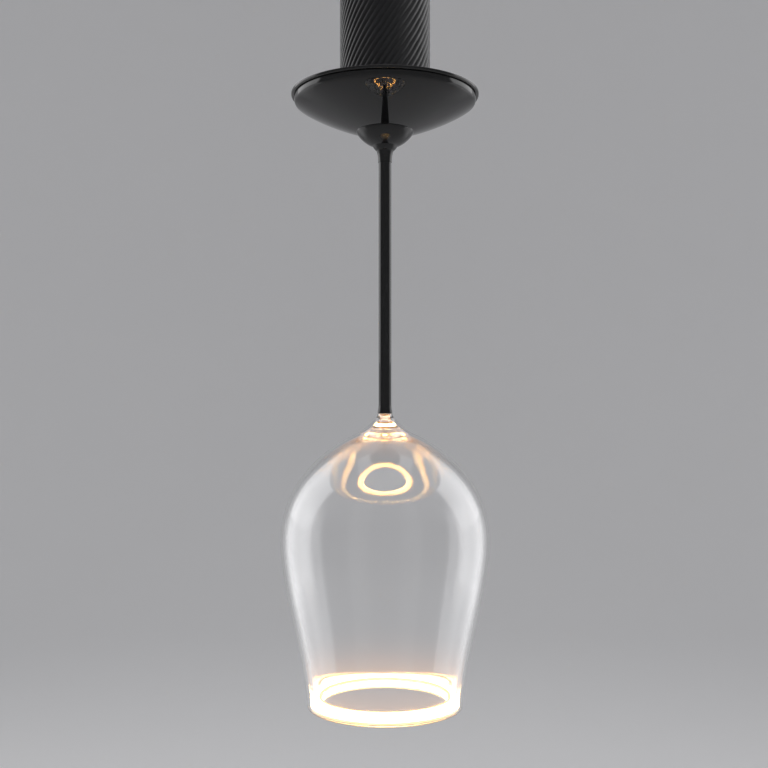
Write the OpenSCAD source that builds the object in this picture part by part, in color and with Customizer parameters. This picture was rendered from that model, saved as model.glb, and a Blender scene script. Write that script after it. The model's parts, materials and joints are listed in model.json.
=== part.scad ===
// LED bulb shaped like an upturned wine glass, hanging in its fluted E27 lampholder.
// The origin is the mouth of the cord entry on top of the holder, and +Z points up.

/* [Lampholder] */
// Diameter over the crests of the fluted sleeve
sleeve_d = 45; // [44.5:0.1:46]
// Length of the fluted sleeve
sleeve_length = 58; // [57.5:0.1:59]
// Number of flutes around the sleeve
flute_count = 44; // [36:1:52]
// Depth of each flute
flute_depth = 0.7; // [0.4:0.1:0.9]
// Lean of the flutes away from upright, in degrees
flute_lean = 35; // [20:1:45]
// Diameter of the cord entry, threaded M10 by 1
entry_d = 10; // [9.5:0.1:10.5]

/* [Screw cap] */
// Largest diameter of the bulb's knuckle thread
cap_thread_d = 26.25; // [26.05:0.05:26.3]
// Smallest diameter inside the holder's threaded shell
shell_thread_d = 24.5; // [24.45:0.05:24.66]
// Advance of the thread for one turn
thread_pitch = 3.629; // [3.62:0.001:3.64]

/* [Foot] */
// Diameter of the round foot
foot_d = 93.5; // [92:0.5:96]
// Thickness of the foot's top plate
plate_t = 1.5; // [1.3:0.1:1.8]
// Depth of the shallow dome under the plate, down to the edge of its hub
dome_depth = 16.4; // [16:0.1:17]
// Gap between the holder's sleeve and the foot's plate
sleeve_gap = 1; // [0.8:0.1:1.2]

/* [Stem] */
// Diameter of the stem
stem_d = 6.4; // [6.3:0.1:6.8]
// Distance from the foot's top face down to the glass neck
stem_reach = 159; // [150:1:170]

/* [Bowl] */
// Largest diameter of the bowl
bowl_d = 104.2; // [102:0.2:106]
// Depth of the widest place below the neck
bowl_widest = 63.8; // [60:0.2:68]
// Height of the bowl from neck to rim
bowl_height = 145.2; // [142:0.2:148]
// Outer diameter at the rim
rim_d = 77.6; // [76:0.2:80]
// Wall of the outer glass
glass_t = 1.5; // [1.3:0.1:1.6]
// Wall of the clear light guide inside it
guide_t = 2.05; // [1.9:0.05:2.2]

/* [Glowing ring] */
// Width of the ring across its section
ring_width = 5.6; // [5:0.1:6]
// Height of the ring
ring_height = 5.5; // [5:0.1:6]

/* [Hidden] */
$fn = 96;

// Lampholder, from the top down
boss_r = 8;
boss_height = 6;
sleeve_top = -12;
sleeve_bottom = sleeve_top - sleeve_length;
sleeve_r = sleeve_d / 2;
sleeve_bore_r = 20.6;
spigot_r = 20.5;
spigot_bore_r = 17;
spigot_bottom = sleeve_top - 7;
insert_r = 20.2;
insert_bottom = sleeve_bottom + 2;
floor_top = -35;
floor_bottom = floor_top - 5;
shoulder_z = -46;
socket_r = 14.05;
throat_r = 13.2;
pocket_r = 16.5;
post_y = 10.5;
post_r = 3;
m3_r = 1.5;
slot_clear = 0.1;
strip_t = 0.6;
shell_strip_x = 13.6;
earth_screw_x = -13;
terminal_x = 9.45;
terminal_size = [7, 8, 8];
plunger_r = 2;
plunger_bore_r = 2.06;
plunger_head_r = 3.6;
plunger_head_t = 1.4;
well_r = 4;
well_depth = 3;

// Screw cap: the bulb hangs from it
foot_top = sleeve_bottom - sleeve_gap;
button_top = foot_top + 28.95;
button_bottom = button_top - 1.95;
plunger_tip = button_top + 0.05;
plunger_head_top = plunger_tip + plunger_head_t;
cap_wave = 0.5375;
cap_mid_r = cap_thread_d / 2 - cap_wave;
shell_wave = 0.55;
shell_mid_r = shell_thread_d / 2 + shell_wave;
shell_r = 14;
shell_length = 20;
cap_bore_r = 11.6;
ring_top = foot_top + 3.5;
cap_thread_top = ring_top + 18.5;
cap_rim_top = cap_thread_top + 2.5;
carrier_top = cap_thread_top - 2.2;
carrier_r = 11.5;
carrier_bore_r = 9.8;
carrier_flange_r = 13.5;
carrier_flange_t = 2;
resistor_top = carrier_top - 6;
resistor_length = 9;
thread_sides = 32;
thread_steps = 12;

// Foot: the outline of its dome runs in from the rim, as radius and depth
plate_r = foot_d / 2;
plate_bottom = foot_top - plate_t;
gasket_t = 0.4;
dome_top = plate_bottom - gasket_t;
dome_r = plate_r - 1.45;
dome_wall = 1.5;
dome_edge = [dome_r - 1, 3.1];
dome_edge_angle = 36;
dome_foot_angle = 16;
hub_r = 14.4;
hub_ball_r = 17;
hub_ball_depth = dome_depth + 0.4 - sqrt(hub_ball_r ^ 2 - hub_r ^ 2);
hub_floor = dome_depth - 2.3;
hub_top = dome_top - hub_floor;
stem_ring_r = 6.2;
stem_ring_edge = [4.25, hub_ball_depth + 18.2];
flare_end = [stem_d / 2 + 0.2, hub_ball_depth + 24];
foot_post_ring = 18;
foot_post_angles = [90, 210, 330];
foot_post_r = 2.6;
foot_post_base_r = 4;
board_top = plate_bottom - 2.2;
board_t = 1.6;
board_bottom = board_top - board_t;
board_r = 34;
board_hole_r = 10;
solder_x = 11.5;
wire_bend = board_bottom - 1.7;

// Stem
stem_r = stem_d / 2;
stem_bore_r = 2.5;
neck_z = foot_top - stem_reach;
stem_top = hub_top + 6;
stem_bottom = neck_z + 5;
washer_t = 1;
washer_r = 7;
nut_t = 4;
nut_across_corners_r = 5.7;
led_seat = neck_z + 2;
led_board_t = 0.8;
led_emitter_t = 0.5;
collar_r = 3.65;
led_pocket_r = 2.75;
wire_r = 0.45;
wire_x = 0.9;

// Bowl: its outline runs down from the neck as three smooth curves, as radius and depth
air_gap = 0.35;
neck_gasket_t = 0.35;
neck_hole_r = 2.9;
neck_r = 3.7;
spigot_end_r = 2.7;
solid_neck = 12;
flare_point = [13.8, 10];
flare_angle = 23.2;
widest_point = [bowl_d / 2, bowl_widest];
rim_point = [rim_d / 2, bowl_height];
rim_angle = 3.5;
curve_steps = 16;
wall_t = glass_t + air_gap + guide_t;
flare_dir = [cos(flare_angle), sin(flare_angle)];
rim_dir = [-sin(rim_angle), cos(rim_angle)];
neck_start = [neck_r, neck_gasket_t];
neck_curve = curve(neck_start, neck_start + [0, 3], flare_point - 1.5 * flare_dir, flare_point, 8);
shoulder_curve = curve(flare_point, flare_point + 19.9 * flare_dir, widest_point - [0, 28.1], widest_point);
side_curve = curve(widest_point, widest_point + [0, 23.2], rim_point - 30.3 * rim_dir, rim_point);
outline = concat(neck_curve, rest(shoulder_curve), rest(side_curve));

// Depth at which the wall's inner face closes over the solid neck
vault_end = 19;

// Points of a smooth curve from a to d, pulled towards b and c
function curve(a, b, c, d, steps = curve_steps) = [
    for (i = [0:steps])
        let (t = i / steps, s = 1 - t)
            s * s * s * a + 3 * s * s * t * b + 3 * s * t * t * c + t * t * t * d
];

// All of a list except its first entry
function rest(list) = [for (i = [1:len(list) - 1]) list[i]];

// The vector's direction, one unit long
function unit(v) = v / norm(v);

// Unit direction along a path at one of its points
function heading(path, i) = unit(path[min(i + 1, len(path) - 1)] - path[max(i - 1, 0)]);

// The path moved sideways into the bowl by a distance
function inset(path, distance) = [
    for (i = [0:len(path) - 1])
        let (d = heading(path, i))
            path[i] + distance * [-d[1], d[0]]
];

// The points of a path that are further out than a radius
function outside(path, r) = [for (p = path) if (p[0] > r) p];

// The points of a path that are above a depth
function above(path, depth) = [for (p = path) if (p[1] < depth) p];

// Radius and depth turned into radius and height, below a level
function at_height(path, z) = [for (p = path) [p[0], z - p[1]]];

// Radius of a path at a depth, between its points
function radius_at(path, depth) = lookup(depth, [for (p = path) [p[1], p[0]]]);

// The list back to front
function backwards(list) = [for (i = [len(list) - 1:-1:0]) list[i]];

// A disc or tube between two heights, with its bore
module ring(r, z_top, z_bottom, bore = 0) {
    translate([0, 0, z_bottom])
        difference() {
            cylinder(h = z_top - z_bottom, r = r);
            if (bore > 0)
                translate([0, 0, -1])
                    cylinder(h = z_top - z_bottom + 2, r = bore);
        }
}

// A tube that joins rings of points one after the other, closed at both ends
module joined_rings(points, sides) {
    rings = len(points) / sides - 1;
    wall = [
        for (k = [0:rings - 1], j = [0:sides - 1])
            let (n = (j + 1) % sides, low = k * sides, high = low + sides)
                [low + j, high + j, high + n, low + n]
    ];
    start = [for (j = [0:sides - 1]) j];
    end = [for (j = [sides - 1:-1:0]) rings * sides + j];
    polyhedron(points = points, faces = concat([start, end], wall), convexity = 10);
}

// A wire bent through a list of points, each an x and a z, with mitred bends
module wire(path, r = wire_r, sides = 8) {
    last = len(path) - 1;
    points = [
        for (i = [0:last])
            let (
                before = unit(path[max(i, 1)] - path[max(i, 1) - 1]),
                after = unit(path[min(i, last - 1) + 1] - path[min(i, last - 1)]),
                along = unit(before + after),
                reach = r / (along * after)
            )
                for (j = [0:sides - 1])
                    let (a = 360 * (j + 0.5) / sides)
                        [
                            path[i][0] - reach * cos(a) * along[1],
                            r * sin(a),
                            path[i][1] + reach * cos(a) * along[0]
                        ]
    ];
    joined_rings(points, sides);
}

// A block between two corners
module block(low, high) {
    translate(low)
        cube(high - low);
}

// A rod whose surface waves in and out along a single right-handed thread
module threaded_rod(mid_r, wave, z_bottom, length) {
    rings = ceil(length / thread_pitch * thread_steps);
    step = length / rings;
    points = [
        for (k = [0:rings], j = [0:thread_sides - 1])
            let (z = z_bottom + k * step, a = 360 * j / thread_sides)
                let (r = mid_r + wave * cos(a - 360 * z / thread_pitch))
                    [r * cos(a), r * sin(a), z]
    ];
    joined_rings(points, thread_sides);
}

// A cheese-head screw that points along +Z from its head's underside
module screw(head_r, head_t, length) {
    cylinder(h = length, r = m3_r, $fn = 32);
    translate([0, 0, -head_t])
        difference() {
            cylinder(h = head_t, r = head_r, $fn = 48);
            translate([-head_r, -0.4, -1])
                cube([2 * head_r, 0.8, 1.9]);
        }
}

// Lampholder

module holder_sleeve() {
    turn = sleeve_length * tan(flute_lean) / sleeve_r * 180 / PI;
    flutes = [
        for (i = [0:2 * flute_count - 1])
            let (a = 180 * i / flute_count, r = sleeve_r - flute_depth * (i % 2))
                [r * cos(a), r * sin(a)]
    ];
    color([0.05, 0.05, 0.055])
        difference() {
            translate([0, 0, sleeve_bottom])
                linear_extrude(height = sleeve_length, twist = -turn, slices = 24)
                    polygon(flutes);
            ring(sleeve_bore_r, sleeve_top + 1, sleeve_bottom - 1);
            grub_screw_places()
                cylinder(h = 10, r = m3_r);
        }
}

// Puts its child at each of the three grub screws, pointing outwards
module grub_screw_places() {
    for (a = [30, 150, 270])
        rotate([0, 0, a])
            translate([18.4, 0, (sleeve_top + spigot_bottom) / 2])
                rotate([0, 90, 0])
                    children();
}

module holder_cap() {
    top = -boss_height;
    shoulder = curve([boss_r + 1, top], [17, top], [sleeve_r, -8], [sleeve_r, -10.5], 10);
    color([0.05, 0.05, 0.055])
        difference() {
            union() {
                rotate_extrude()
                    polygon(concat(
                        [[0, 0], [boss_r - 0.6, 0], [boss_r, -0.6], [boss_r, -boss_height + 0.6]],
                        shoulder,
                        [[sleeve_r, sleeve_top], [0, sleeve_top]]
                    ));
                ring(spigot_r, sleeve_top + 1, spigot_bottom, spigot_bore_r);
                for (side = [-1, 1])
                    translate([0, side * post_y, 0])
                        ring(post_r, sleeve_top + 1, spigot_bottom);
            }
            ring(entry_d / 2, 1, sleeve_top - 1);
            for (side = [-1, 1])
                translate([0, side * post_y, 0])
                    ring(m3_r, -8.5, spigot_bottom - 1);
            translate([0, 0, -boss_height / 2])
                rotate([0, 90, 0])
                    cylinder(h = 20, r = m3_r);
            grub_screw_places()
                cylinder(h = 10, r = m3_r);
            translate([earth_screw_x, 0, sleeve_top - 1])
                cylinder(h = 4, r = m3_r);
        }
}

module cord_lock_screw() {
    color([0.55, 0.55, 0.57])
        translate([entry_d / 2 + 0.2, 0, -boss_height / 2])
            rotate([0, 90, 0])
                socket_set_screw(2.6);
}

module sleeve_grub_screws() {
    color([0.1, 0.1, 0.1])
        grub_screw_places()
            socket_set_screw(3.1);
}

// A headless M3 screw with a hexagon socket in its outer end
module socket_set_screw(length) {
    difference() {
        cylinder(h = length, r = m3_r - 0.02, $fn = 32);
        translate([0, 0, length - 1.4])
            cylinder(h = 2, r = 0.85, $fn = 6);
    }
}

module socket_insert() {
    color([0.93, 0.92, 0.88])
        difference() {
            ring(insert_r, spigot_bottom, insert_bottom);
            difference() {
                ring(pocket_r, spigot_bottom + 1, floor_top);
                for (side = [-1, 1])
                    translate([0, side * post_y, 0])
                        ring(post_r + 1, spigot_bottom + 2, floor_top - 1);
            }
            ring(throat_r, floor_bottom, insert_bottom - 1);
            ring(socket_r, shoulder_z, insert_bottom - 1);
            for (side = [-1, 1])
                translate([0, side * post_y, 0])
                    ring(m3_r + 0.1, spigot_bottom + 1, floor_bottom - 1);
            ring(plunger_bore_r, floor_top + 1, floor_bottom - 1);
            ring(well_r, floor_bottom + well_depth, floor_bottom - 1);
            block(
                [-shell_strip_x - slot_clear, -2.6, shoulder_z],
                [-shell_strip_x + strip_t + slot_clear, 2.6, floor_top + 1]
            );
        }
}

module insert_screws() {
    color([0.7, 0.7, 0.7])
        for (side = [-1, 1])
            translate([0, side * post_y, floor_bottom])
                screw(2.6, 2.2, 30);
}

module contact_shell() {
    color([0.78, 0.7, 0.45])
        difference() {
            ring(shell_r, shoulder_z, shoulder_z - shell_length);
            threaded_rod(shell_mid_r, shell_wave, shoulder_z - shell_length - 1, shell_length + 2);
        }
}

module shell_strip() {
    color([0.8, 0.66, 0.35])
        block([-shell_strip_x, -2.5, shoulder_z], [-shell_strip_x + strip_t, 2.5, floor_top + 7]);
}

module plunger_strip() {
    end_x = terminal_x - terminal_size[0] / 2;
    color([0.8, 0.66, 0.35])
        difference() {
            union() {
                block([-3.5, -3.2, floor_top], [end_x, 3.2, floor_top + strip_t]);
                block([end_x - strip_t, -3.2, floor_top], [end_x, 3.2, floor_top + 6]);
            }
            ring(plunger_bore_r, floor_top + 2, floor_top - 1);
        }
}

// Puts its child on the floor of the insert at each terminal
module terminal_places() {
    for (side = [-1, 1])
        translate([side * terminal_x, 0, floor_top])
            children();
}

module terminal_blocks() {
    color([0.82, 0.68, 0.36])
        terminal_places()
            difference() {
                translate([-terminal_size[0] / 2, -terminal_size[1] / 2, 0])
                    cube(terminal_size);
                translate([0, 5, 4])
                    rotate([90, 0, 0])
                        cylinder(h = 10, r = 1.6, $fn = 32);
                translate([0, 0, 4])
                    cylinder(h = 5, r = m3_r, $fn = 32);
            }
}

module terminal_screws() {
    color([0.7, 0.7, 0.7])
        terminal_places()
            translate([0, 0, terminal_size[2]])
                rotate([180, 0, 0])
                    translate([0, 0, -1])
                        difference() {
                            union() {
                                cylinder(h = 4, r = m3_r - 0.02, $fn = 32);
                                translate([0, 0, -0.8])
                                    cylinder(h = 1.8, r = 2.5, $fn = 48);
                            }
                            translate([-3, -0.35, -2])
                                cube([6, 0.7, 2]);
                        }
}

module earth_screw() {
    color([0.82, 0.68, 0.36])
        translate([earth_screw_x, 0, sleeve_top])
            screw(2.6, 1.8, 3);
}

module contact_plunger() {
    stem_end = floor_top + strip_t + 2.4;
    color([0.85, 0.7, 0.35])
        rotate_extrude()
            polygon([
                [0, plunger_tip], [plunger_head_r - 0.5, plunger_tip],
                [plunger_head_r, plunger_tip + 0.5], [plunger_head_r, plunger_head_top],
                [plunger_r, plunger_head_top], [plunger_r, floor_top + strip_t + 0.05],
                [plunger_r + 0.8, floor_top + strip_t + 0.05], [plunger_r + 0.8, stem_end - 0.5],
                [plunger_r + 0.3, stem_end], [0, stem_end]
            ]);
}

module plunger_spring() {
    spring_wire_r = 0.28;
    coil_r = 2.85;
    turns = 4;
    low = plunger_head_top + spring_wire_r;
    high = floor_bottom + well_depth - spring_wire_r;
    rings = turns * 16;
    sides = 6;
    points = [
        for (k = [0:rings], j = [0:sides - 1])
            let (a = 360 * k / 16, b = 360 * j / sides, r = coil_r + spring_wire_r * cos(b))
                [r * cos(a), r * sin(a), low + (high - low) * k / rings + spring_wire_r * sin(b)]
    ];
    color([0.6, 0.6, 0.62])
        joined_rings(points, sides);
}

// Screw cap

module cap_button() {
    color([0.75, 0.74, 0.7])
        rotate_extrude()
            polygon(concat(
                [[0, button_bottom], [4.8, button_bottom], [4.8, button_bottom + 0.6]],
                curve([4.3, button_bottom + 1.2], [3.6, button_top], [2.5, button_top], [0, button_top], 8)
            ));
}

module screw_shell() {
    color([0.8, 0.8, 0.82])
        difference() {
            union() {
                threaded_rod(cap_mid_r, cap_wave, ring_top, cap_thread_top - ring_top);
                rotate_extrude()
                    polygon([
                        [0, cap_thread_top], [12.0, cap_thread_top],
                        [11.4, cap_thread_top + 0.9], [9.9, cap_rim_top], [0, cap_rim_top]
                    ]);
            }
            ring(cap_bore_r, cap_thread_top - 1.1, ring_top - 1);
            ring(9.4, cap_rim_top + 1, ring_top - 1);
        }
}

module cap_insulator() {
    low = cap_rim_top + 0.4;
    top = button_bottom;
    cone = curve([9.3, low], [8, low + 0.8], [6, top], [4.6, top], 8);
    color([0.06, 0.06, 0.08])
        difference() {
            rotate_extrude()
                polygon(concat(
                    [[0, cap_thread_top - 2.1], [9.3, cap_thread_top - 2.1], [9.3, cap_rim_top + 0.2]],
                    cone,
                    [[0, top]]
                ));
            ring(1, top + 1, cap_thread_top - 4);
        }
}

module cap_carrier() {
    bottom = plate_bottom - carrier_flange_t;
    color([0.85, 0.84, 0.8])
        difference() {
            union() {
                ring(carrier_r, carrier_top, bottom);
                ring(carrier_flange_r, plate_bottom, bottom);
            }
            ring(carrier_bore_r, carrier_top + 1, bottom - 1);
            block([-cap_bore_r - 1, -1, carrier_top - 3], [-carrier_bore_r + 1, 1, carrier_top + 1]);
        }
}

module insulating_ring() {
    color([0.04, 0.04, 0.045])
        difference() {
            rotate_extrude()
                polygon([
                    [0, foot_top], [14.6, foot_top], [14.6, foot_top + 1],
                    [13.4, ring_top], [0, ring_top]
                ]);
            ring(cap_bore_r, ring_top + 1, foot_top - 1);
        }
}

// A body with a thicker cap at each end
module fusible_resistor() {
    half = resistor_length / 2;
    end = [[1.6, half - 2.2], [1.9, half - 1.8], [1.9, half - 0.5], [1.6, half]];
    color([0.45, 0.6, 0.75])
        translate([0, 0, resistor_top - half])
            rotate_extrude()
                polygon(concat([[0, -half]], backwards([for (p = end) [p[0], -p[1]]]), end, [[0, half]]));
}

module live_wire() {
    color([0.7, 0.2, 0.15]) {
        wire([[0, button_bottom], [0, resistor_top]]);
        wire([
            [0, resistor_top - resistor_length], [0, foot_top - 1], [6, board_bottom],
            [8, wire_bend], [solder_x, wire_bend], [solder_x, board_bottom]
        ]);
    }
}

module neutral_wire() {
    shell_z = carrier_top - 1.5;
    lane_x = carrier_bore_r - 1.2;
    color([0.2, 0.3, 0.65])
        wire([
            [-cap_bore_r + 0.02, shell_z], [-lane_x, shell_z],
            [-lane_x, wire_bend], [-solder_x, wire_bend], [-solder_x, board_bottom]
        ]);
}

// Foot

// Puts its child at each of the three posts in the foot
module foot_post_places() {
    for (a = foot_post_angles)
        rotate([0, 0, a])
            translate([foot_post_ring, 0, 0])
                children();
}

module foot_plate() {
    edge = plate_t / 2;
    middle = [plate_r - edge, foot_top - edge];
    color([0.02, 0.02, 0.022])
        difference() {
            rotate_extrude()
                polygon(concat(
                    [[0, plate_bottom]],
                    [for (a = [-90:30:90]) middle + edge * [cos(a), sin(a)]],
                    [[0, foot_top]]
                ));
            ring(carrier_r + 0.1, foot_top + 1, plate_bottom - 1);
            foot_post_places() {
                ring(m3_r + 0.2, foot_top + 1, plate_bottom - 1);
                translate([0, 0, foot_top - 1])
                    cylinder(h = 1.01, r1 = m3_r + 0.2, r2 = m3_r + 1.2);
            }
        }
}

module plate_screws() {
    color([0.6, 0.6, 0.62])
        foot_post_places()
            translate([0, 0, foot_top - 1])
                difference() {
                    union() {
                        cylinder(h = 0.95, r1 = m3_r, r2 = m3_r + 1.05);
                        translate([0, 0, -6])
                            cylinder(h = 6.1, r = m3_r);
                    }
                    translate([0, 0, 0.35])
                        cylinder(h = 1, r = 0.8, $fn = 6);
                }
}

module foot_gasket() {
    color([0.03, 0.03, 0.03])
        ring(dome_r - 0.3, plate_bottom, dome_top, dome_r - dome_wall);
}

// The dome's outline from its rim to the edge of the hub
function dome_curve() =
    let (
        rim = [dome_r, 0],
        down = [-cos(dome_edge_angle), sin(dome_edge_angle)],
        in = [-cos(dome_foot_angle), sin(dome_foot_angle)],
        hub_edge = [hub_r, dome_depth]
    )
        concat(
            curve(rim, rim + [0, 1.5], dome_edge - 1.3 * down, dome_edge, 5),
            rest(curve(dome_edge, dome_edge + 7 * down, hub_edge - 10 * in, hub_edge, 12))
        );

// The round hub under the dome, as radius and depth
function hub_curve() = [
    for (i = [0:8])
        let (r = hub_r - 0.2 + (stem_ring_r - hub_r + 0.2) * i / 8)
            [r, hub_ball_depth + sqrt(hub_ball_r ^ 2 - r ^ 2)]
];

module foot_dome() {
    skin = dome_curve();
    hub = hub_curve();
    stem_ring = hub[len(hub) - 1];
    low_edge = curve(
        stem_ring, stem_ring + [-0.1, 0.4], stem_ring_edge + [0.8, -0.4], stem_ring_edge, 5
    );
    flare = curve(stem_ring_edge, stem_ring_edge + [-0.5, 1.5], flare_end - [0, 3], flare_end, 6);
    lining = concat([[dome_r - dome_wall, 0]], rest(above(inset(skin, dome_wall), hub_floor - 0.2)));
    mid_wall = inset(skin, dome_wall / 2);
    color([0.02, 0.02, 0.022])
        difference() {
            union() {
                rotate_extrude()
                    polygon(at_height(concat(
                        skin, hub, rest(low_edge), rest(flare), [[0, flare_end[1]], [0, hub_floor]],
                        [[lining[len(lining) - 1][0] - 1, hub_floor]], backwards(lining)
                    ), dome_top));
                intersection() {
                    foot_post_places()
                        ring(foot_post_base_r, board_bottom, hub_top - 10);
                    rotate_extrude()
                        polygon(at_height(concat([[0, 0]], mid_wall, [[0, dome_depth]]), dome_top));
                }
                foot_post_places()
                    ring(foot_post_r, plate_bottom, board_bottom - 1);
            }
            ring(stem_r, hub_top + 1, dome_top - flare_end[1] - 1);
            foot_post_places()
                ring(m3_r, plate_bottom + 1, foot_top - 7.2);
        }
}

module driver_board() {
    color([0.05, 0.3, 0.14])
        difference() {
            ring(board_r, board_top, board_bottom, board_hole_r);
            foot_post_places()
                ring(foot_post_r + 0.1, board_top + 1, board_bottom - 1);
        }
}

module board_spacers() {
    color([0.85, 0.85, 0.82])
        foot_post_places()
            ring(foot_post_base_r, plate_bottom, board_top, foot_post_r + 0.1);
}

// A chip under the driver board, size [x, y, z], with a row of legs along each long side
module chip(x, size, legs, leg_w) {
    pitch = size[0] / legs;
    reach = size[1] / 2 + 0.9;
    block([x, -size[1] / 2, board_bottom - 0.2 - size[2]], [x + size[0], size[1] / 2, board_bottom - 0.2]);
    for (i = [0:legs - 1]) {
        left = x + pitch * (i + 0.5) - leg_w / 2;
        block([left, -reach, board_bottom - 0.7], [left + leg_w, reach, board_bottom]);
    }
}

module bridge_rectifier() {
    color([0.08, 0.08, 0.08])
        chip(-24, [6.5, 6.4, 2.6], 2, 0.8);
}

module driver_chip() {
    color([0.1, 0.1, 0.11])
        chip(18, [5, 4, 1.6], 4, 0.5);
}

module smoothing_capacitor() {
    color([0.12, 0.14, 0.3])
        translate([-6, -21, board_bottom - 4])
            rotate([0, 90, 0])
                rotate_extrude()
                    polygon([
                        [0, 0], [3.6, 0], [4, 0.4], [4, 1.6], [3.6, 2], [4, 2.4],
                        [4, 11.6], [3.6, 12], [3.2, 12], [3.2, 11.8], [0, 11.8]
                    ]);
}

module film_capacitor() {
    color([0.75, 0.3, 0.12])
        block([-23, 7, board_bottom - 6.5], [-13, 12, board_bottom]);
}

// A drum with a flange at each end
module choke() {
    height = 7;
    color([0.2, 0.2, 0.21])
        translate([19, 9.5, board_bottom - height])
            rotate_extrude()
                polygon([
                    [0, 0], [4.5, 0], [4.5, 1], [3.9, 1.4],
                    [3.9, height - 1.4], [4.5, height - 1], [4.5, height], [0, height]
                ]);
}

// A wire from the driver board over the stem's end and down to the light source
module stem_wire(side) {
    over = stem_top + 1.2;
    foot_x = board_hole_r + 0.8;
    rotate([0, 0, 90])
        wire([
            [side * foot_x, board_bottom], [side * foot_x, over - 1],
            [side * (board_hole_r - 2), over], [side * wire_x, over], [side * wire_x, led_seat]
        ]);
}

module led_wire_positive() {
    color([0.75, 0.15, 0.12])
        stem_wire(1);
}

module led_wire_negative() {
    color([0.08, 0.08, 0.08])
        stem_wire(-1);
}

// Stem

module stem_tube() {
    color([0.02, 0.02, 0.022])
        ring(stem_r - 0.03, stem_top, stem_bottom, stem_bore_r);
}

module stem_washer() {
    color([0.6, 0.6, 0.62])
        ring(washer_r, hub_top + washer_t, hub_top, stem_r);
}

module stem_nut() {
    color([0.6, 0.6, 0.62])
        translate([0, 0, hub_top + washer_t])
            difference() {
                cylinder(h = nut_t, r = nut_across_corners_r, $fn = 6);
                translate([0, 0, -1])
                    cylinder(h = nut_t + 2, r = stem_r);
            }
}

module neck_collar() {
    flare = curve(
        [stem_r, stem_bottom], [stem_r, neck_z + 2.5], [collar_r, neck_z + 1.2], [collar_r, neck_z], 8
    );
    color([0.02, 0.02, 0.022])
        difference() {
            union() {
                rotate_extrude()
                    polygon(concat([[0, stem_bottom]], flare, [[0, neck_z]]));
                ring(stem_bore_r - 0.05, stem_bottom + 6, stem_bottom - 0.5);
            }
            ring(wire_x + wire_r + 0.2, stem_bottom + 7, neck_z - 1);
            ring(led_pocket_r, led_seat, neck_z - 1);
        }
}

module led_board() {
    color([0.85, 0.86, 0.88])
        ring(led_pocket_r - 0.05, led_seat, led_seat - led_board_t);
}

module led_emitter() {
    color([0.95, 0.75, 0.2])
        ring(1.9, led_seat - led_board_t, led_seat - led_board_t - led_emitter_t);
}

module neck_gasket() {
    color([0.8, 0.78, 0.7])
        ring(collar_r - 0.1, neck_z, neck_z - neck_gasket_t, neck_hole_r);
}

// Bowl

module outer_bowl() {
    inner = outside(inset(outline, glass_t), neck_hole_r + 0.6);
    lip = inner[len(inner) - 1];
    lip_bulge = (rim_point + lip) / 2 + [0, 0.5];
    neck_hole = [[neck_hole_r, inner[0][1] - 0.8], [neck_hole_r, neck_gasket_t]];
    color([0.85, 0.9, 0.95, 0.35])
        rotate_extrude()
            polygon(at_height(concat(outline, [lip_bulge], backwards(inner), neck_hole), neck_z));
}

module light_guide() {
    skin = outside(inset(outline, glass_t + air_gap), spigot_end_r + 0.4);
    lining = outside(inset(outline, wall_t), vault_end);
    edge_depth = bowl_height - ring_height;
    joint = lining[0];
    vault = curve([0, solid_neck], [6.5, solid_neck], joint - 7 * heading(lining, 0), joint, 10);
    color([0.9, 0.95, 1, 0.35])
        rotate_extrude()
            polygon(at_height(concat(
                [[0, -0.6], [spigot_end_r, -0.6], [spigot_end_r, skin[0][1] - 0.6]],
                above(skin, edge_depth - 0.5),
                [[radius_at(skin, edge_depth), edge_depth], [radius_at(lining, edge_depth), edge_depth]],
                backwards(above(rest(lining), edge_depth - 0.5)),
                backwards(vault)
            ), neck_z));
}

module rim_ring() {
    skin = inset(outline, glass_t + air_gap);
    top = bowl_height - ring_height;
    r_out = radius_at(skin, bowl_height - ring_height / 2) - 0.1;
    r_in = r_out - ring_width;
    fillet = 1.2;
    low = bowl_height - 0.1;
    color([1, 0.85, 0.55])
        rotate_extrude()
            polygon(at_height(concat(
                [[r_in + 0.5, top], [r_out, top]],
                [for (a = [0:15:90]) [r_out - fillet, low - fillet] + fillet * [cos(a), sin(a)]],
                [for (a = [90:15:180]) [r_in + fillet, low - fillet] + fillet * [cos(a), sin(a)]],
                [[r_in, top + 0.5]]
            ), neck_z));
}

holder_sleeve();
holder_cap();
cord_lock_screw();
sleeve_grub_screws();
socket_insert();
insert_screws();
contact_shell();
shell_strip();
plunger_strip();
terminal_blocks();
terminal_screws();
earth_screw();
contact_plunger();
plunger_spring();
cap_button();
screw_shell();
cap_insulator();
cap_carrier();
insulating_ring();
fusible_resistor();
live_wire();
neutral_wire();
foot_plate();
plate_screws();
foot_gasket();
foot_dome();
driver_board();
board_spacers();
bridge_rectifier();
driver_chip();
smoothing_capacitor();
film_capacitor();
choke();
led_wire_positive();
led_wire_negative();
stem_tube();
stem_washer();
stem_nut();
neck_collar();
led_board();
led_emitter();
neck_gasket();
outer_bowl();
light_guide();
rim_ring();
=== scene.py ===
"""Looks for a lit glass bulb, shaped like an upturned wine glass, that hangs in a fluted black lampholder."""

import json
import math

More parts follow.
